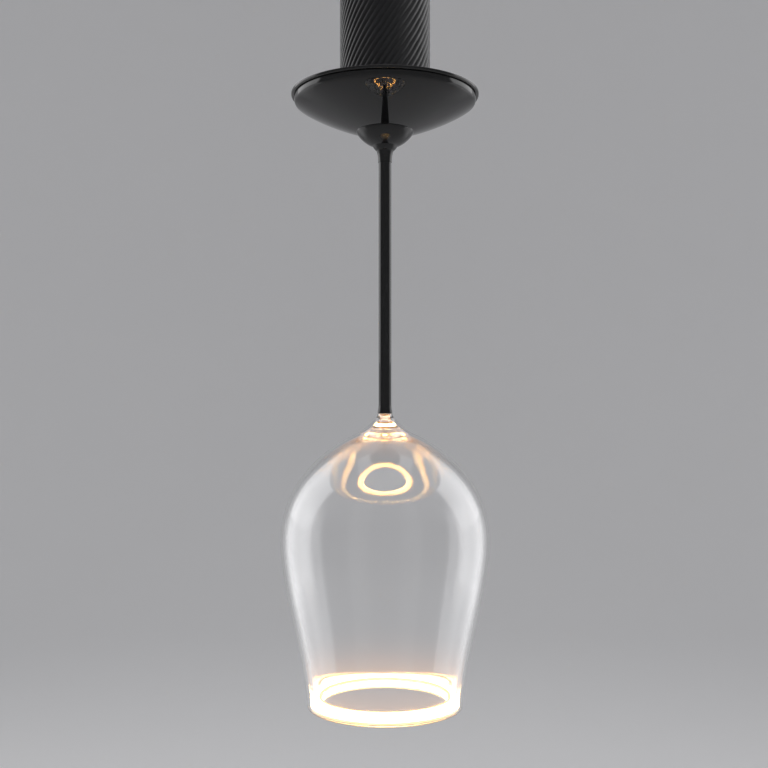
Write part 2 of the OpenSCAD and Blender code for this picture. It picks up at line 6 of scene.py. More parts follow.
import bmesh
import bpy
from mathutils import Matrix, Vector


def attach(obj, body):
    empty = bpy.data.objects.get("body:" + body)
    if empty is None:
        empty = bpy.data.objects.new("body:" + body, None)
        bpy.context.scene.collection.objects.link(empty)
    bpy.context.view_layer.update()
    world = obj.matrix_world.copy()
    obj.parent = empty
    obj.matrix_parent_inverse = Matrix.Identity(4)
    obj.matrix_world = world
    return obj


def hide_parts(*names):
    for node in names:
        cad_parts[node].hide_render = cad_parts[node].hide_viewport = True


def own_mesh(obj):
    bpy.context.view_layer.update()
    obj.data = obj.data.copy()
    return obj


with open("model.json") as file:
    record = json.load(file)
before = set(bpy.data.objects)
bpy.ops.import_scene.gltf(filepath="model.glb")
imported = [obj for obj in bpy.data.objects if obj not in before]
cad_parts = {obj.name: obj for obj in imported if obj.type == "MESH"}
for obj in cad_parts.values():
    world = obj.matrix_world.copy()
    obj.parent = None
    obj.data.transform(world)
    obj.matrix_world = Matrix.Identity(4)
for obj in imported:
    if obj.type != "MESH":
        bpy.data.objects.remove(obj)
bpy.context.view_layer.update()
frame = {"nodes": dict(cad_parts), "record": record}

MM = 0.001

# Levels on the axis, in millimetres from the cord entry, as in the frame
SLEEVE_TOP = -12
SLEEVE_BOTTOM = -70
FOOT_TOP = -71
NECK = -230

# Holder, in millimetres: sleeve, clamping posts, and the screws that hold the sleeve
SLEEVE_R = 22.5
SLEEVE_BORE = 20.6
POST_Y = 10.5
M3_R = 1.5
GRUB_ANGLES = (30, 150, 270)
GRUB_Z = -15.5

# Screw thread: its pitch, and radius at mid-depth and half the depth on the cap and on the shell around it
THREAD_PITCH = 3.629
CAP_THREAD = (12.5875, 0.5375)
SHELL_THREAD = (12.8, 0.55)

# Camera: places in the photograph's pixels, its scale in millimetres a pixel, the distance in metres
PHOTO_SIZE = 768
HORIZON_ROW = 413
AXIS_COLUMN = 385
PHOTO_SCALE = 0.5
FOOT_ROW = 95.3
CAMERA_DISTANCE = 0.524


def mix_points(a, b, t):
    """The point a share t of the way from a to b."""
    return tuple(p + (q - p) * t for p, q in zip(a, b))


def curve(a, b, c, d, steps):
    """Points of a smooth curve from a to d, pulled towards b and c."""
    points = []
    for i in range(steps + 1):
        t = i / steps
        ab, bc, cd = mix_points(a, b, t), mix_points(b, c, t), mix_points(c, d, t)
        points.append(mix_points(mix_points(ab, bc, t), mix_points(bc, cd, t), t))
    return points


def along(point, direction, distance):
    """The point moved a distance along a direction."""
    return point[0] + distance * direction[0], point[1] + distance * direction[1]


def lean(degrees, r_sign=1):
    """A downward direction, in radius and depth, that slopes by some degrees from level."""
    angle = math.radians(degrees)
    return r_sign * math.cos(angle), math.sin(angle)


def inset(path, distance):
    """The path moved sideways, towards the bowl's inside, by a distance."""
    moved = []
    last = len(path) - 1
    for i, (r, depth) in enumerate(path):
        (r0, d0), (r1, d1) = path[max(i - 1, 0)], path[min(i + 1, last)]
        length = math.hypot(r1 - r0, d1 - d0)
        moved.append((r - distance * (d1 - d0) / length, depth + distance * (r1 - r0) / length))
    return moved


def radius_at(path, depth):
    """The path's radius at a depth, between its points."""
    for (r0, d0), (r1, d1) in zip(path, path[1:]):
        if d0 <= depth <= d1:
            return r0 + (r1 - r0) * (depth - d0) / (d1 - d0)
    return path[-1][0]


def fillet(corners, steps=5):
    """Rounds the corners of a closed outline. Each corner is a radius, a height and the rounding there."""
    points = []
    count = len(corners)
    for i, (x, z, rounding) in enumerate(corners):
        here = Vector((x, z))
        if not rounding:
            points.append((x, z))
            continue
        before = (Vector(corners[i - 1][:2]) - here).normalized()
        after = (Vector(corners[(i + 1) % count][:2]) - here).normalized()
        for k in range(steps + 1):
            t = k / steps
            a, b = here + before * rounding, here + after * rounding
            p = a.lerp(here, t).lerp(here.lerp(b, t), t)
            points.append((p.x, p.y))
    return points


def new_object(name, bm, sharp=40):
    """Turns a bmesh into a smooth-shaded object with sharp edges above an angle."""
    bmesh.ops.recalc_face_normals(bm, faces=bm.faces)
    mesh = bpy.data.meshes.new(name)
    bm.to_mesh(mesh)
    bm.free()
    mesh.polygons.foreach_set("use_smooth", [True] * len(mesh.polygons))
    mesh.set_sharp_from_angle(angle=math.radians(sharp))
    piece = bpy.data.objects.new(name, mesh)
    bpy.context.scene.collection.objects.link(piece)
    return piece


def polar(r, angle, z):
    """A point in metres from its radius, angle and height in millimetres."""
    return r * MM * math.cos(angle), r * MM * math.sin(angle), z * MM


def circle(bm, r, z, steps):
    """A ring of points around the axis."""
    return [bm.verts.new(polar(r, math.tau * j / steps, z)) for j in range(steps)]


def skin(bm, rings):
    """Faces between each ring of points and the next. A ring that is one point gets triangles."""
    for low, high in zip(rings, rings[1:]):
        for j in range(len(low)):
            n = (j + 1) % len(low)
            corners = list(dict.fromkeys([low[j], low[n], high[n], high[j]]))
            if len(corners) > 2:
                bm.faces.new(corners)


def revolve(name, outline, steps=192, sharp=40):
    """Turns a closed outline of radius and height, in millimetres, about the axis."""
    bm = bmesh.new()
    rings = []
    for r, z in outline:
        if r < 1e-4:
            rings.append([bm.verts.new((0, 0, z * MM))] * steps)
        else:
            rings.append(circle(bm, r, z, steps))
    skin(bm, rings + rings[:1])
    return new_object(name, bm, sharp)


def cylinder(radius, a, b, steps=32):
    """A plain cutting tool between two points, in millimetres."""
    bm = bmesh.new()
    a, b = Vector(a) * MM, Vector(b) * MM
    turn = (b - a).to_track_quat("Z", "Y")
    rings = []
    for end in (a, b):
        corners = [turn @ Vector(polar(radius, math.tau * j / steps, 0)) for j in range(steps)]
        rings.append([bm.verts.new(end + corner) for corner in corners])
    for ring in rings:
        bm.faces.new(ring)
    skin(bm, rings)
    return new_object("tool", bm)


def combine(piece, tools, operation):
    """Cuts the tools out of a piece, or joins them to it."""
    for tool in tools:
        step = piece.modifiers.new("step", "BOOLEAN")
        step.operation = operation
        step.solver = "EXACT"
        step.object = tool
        bpy.context.view_layer.objects.active = piece
        bpy.ops.object.modifier_apply(modifier=step.name)
        bpy.data.objects.remove(tool)
    piece.data.set_sharp_from_angle(angle=math.radians(40))


class Graph:
    """A material's nodes, made in the order in which they are wired."""

    def __init__(self, name):
        self.material = bpy.data.materials.new(name)
        self.material.use_nodes = True
        self.tree = self.material.node_tree
        self.shader = self.tree.nodes["Principled BSDF"]
        self.place = self.add("TexCoord").outputs["Object"]

    def add(self, kind, inputs=None, **settings):
        """Adds a node, sets it up, and fills its inputs with values or links."""
        node = self.tree.nodes.new("ShaderNode" + kind)
        for key, value in settings.items():
            setattr(node, key, value)
        for key, value in (inputs or {}).items():
            if isinstance(value, bpy.types.NodeSocket):
                self.tree.links.new(value, node.inputs[key])
            else:
                node.inputs[key].default_value = value
        return node

    def math(self, operation, a, b=0.0, clamp=False):
        """Works out one value from two."""
        return self.add("Math", {0: a, 1: b}, operation=operation, use_clamp=clamp).outputs[0]

    def axes(self):
        """The place's x, y and z in metres."""
        return self.add("SeparateXYZ", {0: self.place}).outputs

    def radius(self):
        """Distance from the lamp's axis, in metres."""
        x, y, _ = self.axes()
        return self.math("SQRT", self.math("ADD", self.math("MULTIPLY", x, x), self.math("MULTIPLY", y, y)))

    def noise(self, grain, detail=4.0, stretch=(1, 1, 1)):
        """Noise from 0 to 1, with spots of about grain millimetres, each axis drawn out by its stretch."""
        scaled = self.add("Mapping", {"Vector": self.place, "Scale": tuple(1 / s for s in stretch)})
        inputs = {"Vector": scaled.outputs[0], "Scale": 1 / (grain * MM), "Detail": detail}
        return self.add("TexNoise", inputs).outputs["Fac"]

    def ramp(self, value, stops):
        """Colours along a value from 0 to 1: each stop is a place and a colour."""
        node = self.add("ValToRGB", {"Fac": value})
        stripes = node.color_ramp.elements
        while len(stripes) < len(stops):
            stripes.new(0.5)
        for stripe, (place, colour) in zip(stripes, stops):
            stripe.position = place
            stripe.color = (*colour, 1)
        return node.outputs["Color"]

    def span(self, value, low, high, out_low=0.0, out_high=1.0):
        """The value between low and high, spread over another range."""
        inputs = {"Value": value, "From Min": low, "From Max": high, "To Min": out_low, "To Max": out_high}
        return self.add("MapRange", inputs).outputs["Result"]

    def blend(self, share, a, b):
        """Colour a going over to colour b as the share goes from 0 to 1."""
        node = self.add("Mix", {0: share}, data_type="RGBA")
        for socket, value in ((node.inputs[6], a), (node.inputs[7], b)):
            if isinstance(value, bpy.types.NodeSocket):
                self.tree.links.new(value, socket)
            else:
                socket.default_value = (*value, 1)
        return node.outputs[2]

    def bump(self, height, depth, strength=1.0):
        """Raises the surface by the height, from 0 to a depth in millimetres."""
        inputs = {"Height": height, "Distance": depth * MM, "Strength": strength}
        node = self.add("Bump", inputs)
        self.tree.links.new(node.outputs[0], self.shader.inputs["Normal"])

    def wire(self, socket, value):
        """Links a value to one of the shader's inputs, or sets it there."""
        if isinstance(value, bpy.types.NodeSocket):
            self.tree.links.new(value, self.shader.inputs[socket])
        else:
            self.shader.inputs[socket].default_value = value


def plain(name, light, dark, rough, grain, depth, metallic):
    """A finish with two shades, a roughness that wanders between two values, and a fine relief."""
    g = Graph(name)
    coarse = g.noise(grain * 6, 3.0)
    fine = g.noise(grain, 5.0)
    g.wire("Base Color", g.blend(g.span(coarse, 0.35, 0.65), dark, light))
    g.wire("Roughness", g.span(fine, 0.3, 0.7, *rough))
    g.wire("Metallic", metallic)
    g.bump(fine, depth)
    return g.material


def fluted_metal():
    """Black satin coating, rubbed a little brighter along the crests of the flutes."""
    g = Graph("black_fluted_metal")
    fine = g.noise(0.25, 4.0)
    smudge = g.noise(14, 3.0)
    crest = g.span(g.radius(), (SLEEVE_R - 0.18) * MM, (SLEEVE_R - 0.01) * MM)
    worn = g.math("MULTIPLY", crest, g.span(smudge, 0.4, 0.7, 0.15, 0.8))
    g.wire("Base Color", g.blend(worn, (0.004, 0.004, 0.005), (0.03, 0.03, 0.034)))
    g.wire("Roughness", g.span(g.math("ADD", fine, g.math("MULTIPLY", worn, -0.4)), 0.0, 0.9, 0.24, 0.5))
    g.wire("Specular IOR Level", 0.4)
    g.bump(fine, 0.01)
    return g.material


def black_lacquer():
    """Deep gloss-black lacquer with a trace of orange peel and a few faint wiping marks."""
    g = Graph("black_gloss_metal")
    peel = g.noise(1.6, 2.0)
    wiping = g.noise(9, 4.0, (1, 1, 5))
    g.wire("Base Color", g.blend(g.noise(30, 2.0), (0.0022, 0.0022, 0.0026), (0.0042, 0.0042, 0.0048)))
    g.wire("Roughness", g.span(wiping, 0.4, 0.75, 0.0, 0.014))
    g.wire("IOR", 1.45)
    g.bump(peel, 0.0012)
    return g.material


def clear_glass():
    """Blown glass: clear, with slow waves in its surface and hardly any haze."""
    g = Graph("clear_glass")
    wave = g.noise(26, 1.5, (1, 1, 2))
    g.wire("Base Color", (1.0, 1.0, 1.0, 1))
    g.wire("Transmission Weight", 1.0)
    g.wire("IOR", 1.5)
    g.wire("Roughness", g.span(g.noise(5, 4.0), 0.45, 0.8, 0.0, 0.02))
    g.bump(wave, 0.03)
    return g.material


def clear_acrylic():
    """Clear light guide, drawn in fine strands near the neck, with a painted warm glow at neck and rim:
    emission that stands in for the light source's and the ring's light scattered in the guide.
    """
    g = Graph("clear_acrylic")
    z = g.axes()[2]
    # Painted light: the guide is no lamp, so the warm glow near the rim and the streaky glow at the neck are
    # painted on as emission.
    painted_rim_emission_mask = g.span(z, (NECK - 105) * MM, (NECK - 140) * MM)
    painted_neck_emission_mask = g.span(z, (NECK - 26) * MM, NECK * MM)
    strands = g.noise(1.1, 3.0, (1, 1, 16))
    painted_light_strand_mask = g.span(strands, 0.45, 0.75)
    drawn = g.math("MULTIPLY", g.span(z, (NECK - 34) * MM, (NECK - 8) * MM), strands)
    haze = g.span(g.noise(4, 4.0), 0.5, 0.8, 0.0, 0.015)
    painted_neck_emission = g.math("MULTIPLY", g.math("POWER", painted_neck_emission_mask, 1.6), g.math("ADD", painted_light_strand_mask, 0.25))
    painted_emission = g.math("ADD", g.math("POWER", painted_rim_emission_mask, 3.0), g.math("MULTIPLY", painted_neck_emission, 2.4))
    g.wire("Base Color", (1.0, 1.0, 1.0, 1))
    g.wire("Transmission Weight", 1.0)
    g.wire("IOR", 1.49)
    g.wire("Roughness", g.math("ADD", haze, g.math("MULTIPLY", drawn, 0.05)))
    # The painted glow's warm colour and its strength.
    g.wire("Emission Color", (1.0, 0.42, 0.1, 1))
    g.wire("Emission Strength", g.math("MULTIPLY", painted_emission, 0.12))
    g.bump(g.math("ADD", g.noise(22, 1.5, (1, 1, 2)), g.math("MULTIPLY", drawn, 2.0)), 0.02)
    return g.material


def glowing_ring():
    """Frosted diffuser, lit from inside: white-hot on its faces and golden along its edges."""
    g = Graph("ring_diffuser")
    z, r = g.axes()[2], g.radius()
    middle_z, middle_r = (NECK - 142.4) * MM, 0.0342
    half_height, half_width, soft = 0.0027, 0.0028, 0.0004
    up = g.math("DIVIDE", g.math("ABSOLUTE", g.math("SUBTRACT", z, middle_z)), half_height)
    out = g.math("DIVIDE", g.math("ABSOLUTE", g.math("SUBTRACT", r, middle_r)), half_width)
    side = g.span(g.math("SUBTRACT", out, up), -0.1, 0.1)
    outer, upper = g.span(r, middle_r, middle_r + soft), g.span(z, middle_z, middle_z + soft)
    open_edge = g.math("SUBTRACT", 1.0, g.math("MULTIPLY", outer, upper))
    corner = g.math("MULTIPLY", g.math("MULTIPLY", up, out), open_edge)
    frost = g.noise(0.35, 5.0)
    grain = g.span(frost, 0.3, 0.7, -0.05, 0.05)
    level = g.math("ADD", g.span(corner, 0.3, 0.62, 1.0, 0.0), grain, clamp=True)
    face = g.blend(side, (1.0, 0.48, 0.12), (1.0, 0.6, 0.24))
    g.wire("Base Color", (0.95, 0.9, 0.8, 1))
    g.wire("Roughness", g.span(frost, 0.3, 0.7, 0.45, 0.7))
    g.wire("Emission Color", g.blend(level, (1.0, 0.56, 0.18), face))
    strength = g.math("MULTIPLY", g.math("POWER", level, 2.0), g.span(side, 0.0, 1.0, 24.0, 48.0))
    g.wire("Emission Strength", g.math("ADD", strength, 1.3))
    g.bump(frost, 0.04)
    return g.material


def light_source():
    """The phosphor of the light source, which shines into the neck."""
    g = Graph("led_phosphor")
    dots = g.add("TexVoronoi", {"Vector": g.place, "Scale": 1400.0}).outputs["Distance"]
    g.wire("Base Color", (0.9, 0.62, 0.1, 1))
    g.wire("Roughness", 0.5)
    g.wire("Emission Color", g.blend(g.span(dots, 0.1, 0.6), (1.0, 0.66, 0.3), (1.0, 0.45, 0.12)))
    g.wire("Emission Strength", g.span(dots, 0.1, 0.6, 50.0, 25.0))
    g.bump(dots, 0.05)
    return g.material


def circuit_board():
    """Green solder mask over a grid of copper tracks, with silvery pads."""
    g = Graph("board_green")
    shades = {"Color1": (0, 0, 0, 1), "Color2": (0.1, 0.1, 0.1, 1), "Mortar": (1, 1, 1, 1)}
    cells = g.add("TexBrick", {"Vector": g.place, "Scale": 260.0, "Mortar Size": 0.03, **shades})
    track = g.math("MULTIPLY", cells.outputs["Fac"], g.span(g.noise(6, 1.0), 0.48, 0.52))
    pads = g.add("TexVoronoi", {"Vector": g.place, "Scale": 330.0}).outputs["Distance"]
    pad = g.span(pads, 0.13, 0.11)
    green = g.blend(track, (0.012, 0.12, 0.045), (0.03, 0.22, 0.09))
    g.wire("Base Color", g.blend(pad, green, (0.6, 0.6, 0.58)))
    g.wire("Roughness", g.span(g.noise(0.8, 3.0), 0.3, 0.7, 0.22, 0.4))
    g.bump(g.math("ADD", track, pad), 0.035)
    return g.material


def banded_resistor():
    """Pale blue lacquer with four plain colour bands."""
    g = Graph("resistor_body")
    low, high = -0.0661, -0.0571
    body = (0.22, 0.42, 0.55)
    band = 0.07
    bands = [(0.22, (0.3, 0.08, 0.02)), (0.4, (0.01, 0.01, 0.01))]
    bands += [(0.58, (0.5, 0.05, 0.02)), (0.78, (0.6, 0.42, 0.08))]
    stops = [(0.0, body)]
    for place, colour in bands:
        stops += [(place, colour), (place + band, body)]
    striped = g.ramp(g.span(g.axes()[2], low, high), stops)
    striped.node.color_ramp.interpolation = "CONSTANT"
    g.wire("Base Color", striped)
    g.wire("Roughness", g.span(g.noise(0.7, 3.0), 0.3, 0.7, 0.25, 0.4))
    g.bump(g.noise(0.9, 2.0), 0.02)
    return g.material


def striped_sleeve():
    """Dark blue shrink sleeve with one pale stripe along its side."""
    g = Graph("capacitor_sleeve")
    _, y, z = g.axes()
    edge_y, edge_z, soft = -0.0188, -0.078, 0.0002
    lower = g.span(z, edge_z - soft, edge_z, 1.0, 0.0)
    stripe = g.math("MULTIPLY", g.span(y, edge_y, edge_y + soft), lower)
    g.wire("Base Color", g.blend(stripe, (0.02, 0.03, 0.12), (0.6, 0.62, 0.68)))
    g.wire("Roughness", g.span(g.noise(0.8, 3.0), 0.3, 0.7, 0.15, 0.32))
    g.bump(g.noise(1.2, 2.0), 0.02)
    return g.material


def nickel():
    """Nickel-plated brass, drawn and rolled: fine rings around the axis, and a little yellowing."""
    g = Graph("nickel")
    rings = g.noise(0.3, 4.0, (12, 12, 1))
    stain = g.noise(5, 4.0)
    g.wire("Base Color", g.blend(g.span(stain, 0.45, 0.75), (0.66, 0.64, 0.6), (0.46, 0.4, 0.3)))
    g.wire("Roughness", g.span(rings, 0.3, 0.7, 0.12, 0.3))
    g.wire("Metallic", 1.0)
    g.bump(rings, 0.008)
    return g.material


def make_finishes():
    """Every finish by its slot's name."""
    made = {
        "black_fluted_metal": fluted_metal(),
        "black_gloss_metal": black_lacquer(),
        "clear_glass": clear_glass(),
        "clear_acrylic": clear_acrylic(),
        "ring_diffuser": glowing_ring(),
        "led_phosphor": light_source(),
        "board_green": circuit_board(),
        "resistor_body": banded_resistor(),
        "capacitor_sleeve": striped_sleeve(),
        "nickel": nickel(),
    }
    rows = [
        ("black_satin_metal", (0.012, 0.012, 0.014), (0.006, 0.006, 0.007), (0.22, 0.4), 0.3, 0.012, 0.35),
        ("zinc_steel", (0.55, 0.56, 0.58), (0.4, 0.41, 0.42), (0.22, 0.42), 0.3, 0.01, 1.0),
        ("black_steel", (0.05, 0.05, 0.052), (0.02, 0.02, 0.022), (0.3, 0.5), 0.3, 0.01, 0.9),
        ("spring_steel", (0.45, 0.45, 0.47), (0.3, 0.3, 0.32), (0.2, 0.35), 0.2, 0.006, 1.0),
        ("porcelain", (0.86, 0.84, 0.77), (0.78, 0.75, 0.67), (0.06, 0.2), 1.4, 0.02, 0.0),
        ("brass", (0.72, 0.5, 0.18), (0.5, 0.33, 0.12), (0.2, 0.42), 0.35, 0.01, 1.0),
        ("tinned_contact", (0.6, 0.58, 0.52), (0.42, 0.4, 0.36), (0.28, 0.5), 0.4, 0.02, 1.0),
        ("black_glass", (0.012, 0.012, 0.02), (0.006, 0.006, 0.01), (0.05, 0.14), 0.9, 0.02, 0.0),
        ("white_plastic", (0.74, 0.73, 0.68), (0.66, 0.65, 0.6), (0.35, 0.5), 0.5, 0.012, 0.0),
        ("black_plastic", (0.02, 0.02, 0.022), (0.012, 0.012, 0.014), (0.3, 0.5), 0.4, 0.012, 0.0),
        ("black_rubber", (0.012, 0.012, 0.012), (0.006, 0.006, 0.006), (0.6, 0.85), 0.3, 0.02, 0.0),
        ("wire_red", (0.5, 0.04, 0.03), (0.36, 0.03, 0.025), (0.25, 0.4), 0.5, 0.01, 0.0),
        ("wire_blue", (0.04, 0.1, 0.4), (0.03, 0.07, 0.28), (0.25, 0.4), 0.5, 0.01, 0.0),
        ("wire_black", (0.02, 0.02, 0.02), (0.012, 0.012, 0.012), (0.25, 0.4), 0.5, 0.01, 0.0),
        ("chip_black", (0.03, 0.03, 0.033), (0.018, 0.018, 0.02), (0.45, 0.65), 0.12, 0.012, 0.0),
        ("film_capacitor_body", (0.5, 0.12, 0.03), (0.38, 0.09, 0.02), (0.12, 0.3), 0.8, 0.02, 0.0),
        ("ferrite", (0.08, 0.08, 0.085), (0.04, 0.04, 0.042), (0.5, 0.75), 0.2, 0.02, 0.0),
        ("board_aluminium", (0.72, 0.73, 0.75), (0.6, 0.61, 0.63), (0.25, 0.4), 0.2, 0.006, 1.0),
        ("clear_silicone", (0.6, 0.57, 0.5), (0.5, 0.47, 0.4), (0.35, 0.55), 0.5, 0.015, 0.0),
    ]
    for name, light, dark, rough, grain, depth, metallic in rows:
        made[name] = plain(name, light, dark, rough, grain, depth, metallic)
    return made


finishes = make_finishes()
slot_of = {s["node"]: s["material_slot"] for s in frame["record"]["subparts"]}
body_of = {n: b for b, nodes in frame["record"]["behaviour"]["bodies"].items() for n in nodes}


def stand_for(piece, node):
    """Gives a piece its node's finish, body and place in the frame."""
    slot = slot_of[node]
    piece.data.materials.clear()
    piece.data.materials.append(finishes[slot])
    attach(piece, body_of[node])
    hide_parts(node)


# The bowl, in millimetres. Its outline runs down from the neck as three smooth curves, as radius and depth
GLASS_WALL = 1.5
AIR_GAP = 0.35
GUIDE_WALL = 2.05
BOWL_HEIGHT = 145.2
RING_HEIGHT = 5.5
RING_WIDTH = 5.6
GASKET = 0.35
NECK_R = 3.7
NECK_HOLE = 2.9
SPIGOT = 2.7
SOLID_NECK = 12
VAULT_END = 19


def bowl_outline():
    """Outside of the bowl from its neck to its rim."""
    flare, widest, rim = (13.8, 10), (52.1, 63.8), (38.8, BOWL_HEIGHT)
    out, down = lean(23.2), lean(93.5)
    neck = curve((NECK_R, GASKET), (NECK_R, GASKET + 3), along(flare, out, -1.5), flare, 24)
    shoulder = curve(flare, along(flare, out, 19.9), (widest[0], widest[1] - 28.1), widest, 56)
    side = curve(widest, (widest[0], widest[1] + 23.2), along(rim, down, -30.3), rim, 56)
    return neck + shoulder[1:] + side[1:]


def below_neck(path):
    """Radius and depth turned into radius and height."""
    return [(r, NECK - depth) for r, depth in path]


def make_outer_bowl(outline):
    """The blown bowl, with a round lip."""
    inner = [p for p in inset(outline, GLASS_WALL) if p[0] > NECK_HOLE + 0.6]
    lip_out, lip_in = outline[-1], inner[-1]
    lip = curve(lip_out, (lip_out[0], lip_out[1] + 0.6), (lip_in[0], lip_in[1] + 0.6), lip_in, 10)[1:-1]
    neck = [(NECK_HOLE, inner[0][1] - 0.8), (NECK_HOLE, GASKET)]
    piece = revolve("outer_bowl_glass", below_neck(outline + lip + inner[::-1] + neck), 256, 50)
    stand_for(piece, "outer_bowl")


def make_light_guide(outline):
    """The inner wall with its solid neck, hollow from the vault down, and cut off where the ring sits."""
    outside = [p for p in inset(outline, GLASS_WALL + AIR_GAP) if p[0] > SPIGOT + 0.4]
    lining = [p for p in inset(outline, GLASS_WALL + AIR_GAP + GUIDE_WALL) if p[0] > VAULT_END]
    edge = BOWL_HEIGHT - RING_HEIGHT
    joint, after = lining[0], lining[1]
    length = math.hypot(after[0] - joint[0], after[1] - joint[1])
    onward = ((after[0] - joint[0]) / length, (after[1] - joint[1]) / length)
    vault = curve((0, SOLID_NECK), (6.5, SOLID_NECK), along(joint, onward, -7), joint, 40)
    path = [(0, -0.6), (SPIGOT - 0.2, -0.6), (SPIGOT, -0.4), (SPIGOT, outside[0][1] - 0.6)]
    path += [p for p in outside if p[1] < edge - 0.2]
    path += [(radius_at(outside, edge), edge), (radius_at(lining, edge), edge)]
    path += [p for p in lining[1:] if p[1] < edge - 0.2][::-1] + vault[::-1]
    piece = revolve("light_guide_bowl", below_neck(path), 256, 50)
    stand_for(piece, "light_guide")


def make_rim_ring(outline):
    """The frosted ring under the light guide, just inside the bowl's lip."""
    top, low = BOWL_HEIGHT - RING_HEIGHT, BOWL_HEIGHT - 0.1
    out = radius_at(inset(outline, GLASS_WALL + AIR_GAP), BOWL_HEIGHT - RING_HEIGHT / 2) - 0.1
    inside = out - RING_WIDTH
    corners = [(inside, top, 0.6), (out, top, 0.15), (out, low, 1.5), (inside, low, 1.5)]
    piece = revolve("rim_ring_diffuser", below_neck(fillet(corners, 8)), 256)
    stand_for(piece, "rim_ring")


# The foot, in millimetres, as radius and depth below the rim of its dome
PLATE_R = 46.75
PLATE_WALL = 1.5
DOME_TOP = FOOT_TOP - PLATE_WALL - 0.4
DOME_R = PLATE_R - 1.45
DOME_DEPTH = 16.4
HUB_R = 14.4
HUB_FLOOR = 14.1
BALL_R = 17
BALL_DEPTH = DOME_DEPTH + 0.4 - math.sqrt(BALL_R ** 2 - HUB_R ** 2)
STEM_R = 3.2


def dome_outline():
    """The dome from its rim to the edge of the hub: steep at first, then ever flatter."""
    edge, foot = (DOME_R - 1, 3.1), (HUB_R, DOME_DEPTH)
    down, level = lean(36, -1), lean(16, -1)
    rim = curve((DOME_R, 0), (DOME_R, 1.5), along(edge, down, -1.3), edge, 14)
    return rim + curve(edge, along(edge, down, 7), along(foot, level, -10), foot, 48)[1:]


def hub_outline():
    """The round hub, the small ring below it, and the flare into the stem."""
    hub_r, ring_r, low_r, points = HUB_R - 0.2, 6.2, 4.25, 24
    ball = []
    for i in range(points + 1):
        r = hub_r + (ring_r - hub_r) * i / points
        ball.append((r, BALL_DEPTH + math.sqrt(BALL_R ** 2 - r ** 2)))
    end_of_ball = ball[-1]
    low, end = (low_r, BALL_DEPTH + 18.2), (STEM_R + 0.2, BALL_DEPTH + 24)
    after = (ring_r - 0.1, end_of_ball[1] + 0.4)
    ring = curve(end_of_ball, after, (low_r + 0.8, low[1] - 0.4), low, 16)
    flare = curve(low, (low_r - 0.5, low[1] + 1.5), (end[0], end[1] - 3), end, 20)
    return ball + ring[1:] + flare[1:]


def make_foot_plate():
    """The foot's top plate, with its three screw holes."""
    under = FOOT_TOP - PLATE_WALL
    opening, screw_ring, screw_r = 11.6, 18, 2.6
    corners = [(opening, under, 0), (PLATE_R, under, 1.0), (PLATE_R, FOOT_TOP, 0.4), (opening, FOOT_TOP, 0.2)]
    plate = revolve("foot_plate_disc", fillet(corners, 6), 256)
    holes = []
    for angle in (90, 210, 330):
        x, y = screw_ring * math.cos(math.radians(angle)), screw_ring * math.sin(math.radians(angle))
        holes.append(cylinder(screw_r, (x, y, under - 1), (x, y, FOOT_TOP + 1)))
    combine(plate, holes, "DIFFERENCE")
    stand_for(plate, "foot_plate")


def make_foot_dome():
    """The foot's hollow dome, its hub and its flare, in one piece."""
    outside = dome_outline()
    lining = [p for p in inset(outside, PLATE_WALL)[1:] if p[1] < HUB_FLOOR - 0.2]
    lining = [(DOME_R - PLATE_WALL, 0)] + lining + [(lining[-1][0] - 1, HUB_FLOOR)]
    hub = hub_outline()
    outline = outside + hub + [(STEM_R, hub[-1][1]), (STEM_R, HUB_FLOOR)] + lining[::-1]
    dome = revolve("foot_dome_shell", [(r, DOME_TOP - depth) for r, depth in outline], 256)
    stand_for(dome, "foot_dome")


def make_stem():
    """The long tube, and the collar on its end that holds the light source."""
    tube_r, bore_r, collar_r = 3.17, 2.5, 3.65
    top, joint = DOME_TOP - HUB_FLOOR + 6, NECK + 5
    tube = [(tube_r, top, 0.3), (tube_r, joint, 0), (bore_r, joint, 0), (bore_r, top, 0.2)]
    stand_for(revolve("stem_tube_long", fillet(tube), 96), "stem_tube")

    flare = curve((STEM_R, joint), (STEM_R, NECK + 2.5), (collar_r, NECK + 1.2), (collar_r, NECK), 16)
    pocket_r, wire_r, spigot_r = 2.75, 1.55, 2.45
    inside = [(pocket_r, NECK), (pocket_r, NECK + 2), (wire_r, NECK + 2)]
    inside += [(wire_r, NECK + 11), (spigot_r, NECK + 11), (spigot_r, joint)]
    stand_for(revolve("neck_collar_end", flare + inside, 96), "neck_collar")


def grub_holes(start):
    """The three radial holes for the screws that hold the sleeve, from a start radius outwards."""
    holes = []
    for angle in GRUB_ANGLES:
        c, s = math.cos(math.radians(angle)), math.sin(math.radians(angle))
        holes.append(cylinder(M3_R, (start * c, start * s, GRUB_Z), (25 * c, 25 * s, GRUB_Z)))
    return holes


def make_sleeve():
    """The fluted sleeve: rounded grooves that lean to the right as they rise, between turned edges."""
    flutes, depth, roundness, rows = 44, 0.7, 1.25, 96
    edge, edge_fall = 0.5, 2.4
    slope = math.tan(math.radians(35))
    steps = flutes * 8
    bm = bmesh.new()
    rings = []
    for k in range(rows + 1):
        z = SLEEVE_BOTTOM + (SLEEVE_TOP - SLEEVE_BOTTOM) * k / rows
        from_end = min(z - SLEEVE_BOTTOM, SLEEVE_TOP - z)
        limit = SLEEVE_R - max(0.0, edge - from_end) ** 2 * edge_fall
        turn = slope * (z - SLEEVE_BOTTOM) / SLEEVE_R
        ring = []
        for j in range(steps):
            a = math.tau * j / steps
            wave = abs(math.sin(flutes * (a - turn) / 2))
            r = min(limit, SLEEVE_R - depth * (1 - wave) ** roundness)
            ring.append(bm.verts.new(polar(r, a, z)))
        rings.append(ring)
    rings += [circle(bm, SLEEVE_BORE, z, steps) for z in (SLEEVE_TOP, SLEEVE_BOTTOM)]
    skin(bm, rings + rings[:1])
    piece = new_object("holder_sleeve_fluted", bm, 50)
    combine(piece, grub_holes(18), "DIFFERENCE")
    stand_for(piece, "holder_sleeve")


